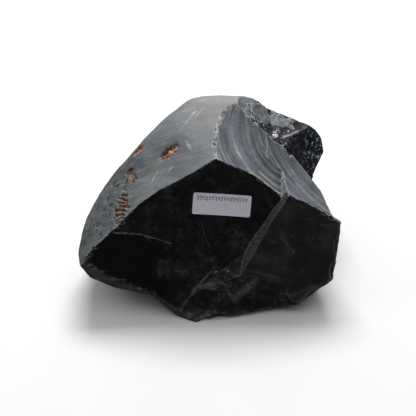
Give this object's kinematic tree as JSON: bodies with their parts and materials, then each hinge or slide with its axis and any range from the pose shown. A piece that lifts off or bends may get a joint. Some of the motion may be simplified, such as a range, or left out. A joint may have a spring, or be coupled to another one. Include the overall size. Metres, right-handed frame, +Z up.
{
  "type": "obsidian chunk",
  "caption": "Rough chunk of black obsidian with broken hollow faces, a grey weathered skin and a small paper label stuck to its front.",
  "frame": {"origin": "on the ground plane, inside the flat face the chunk rests on", "axes": "+Z up, +X along the longest side with the labelled hollow face looking along -Y"},
  "size_m": [0.1756, 0.1352, 0.1201],
  "materials": {
    "obsidian": "black volcanic glass, glossy where freshly broken, dull grey where weathered",
    "label_paper": "matte self-adhesive paper"
  },
  "bodies": {
    "root": {"obsidian_chunk": "obsidian", "paper_label": "label_paper"}
  },
  "joints": []
}
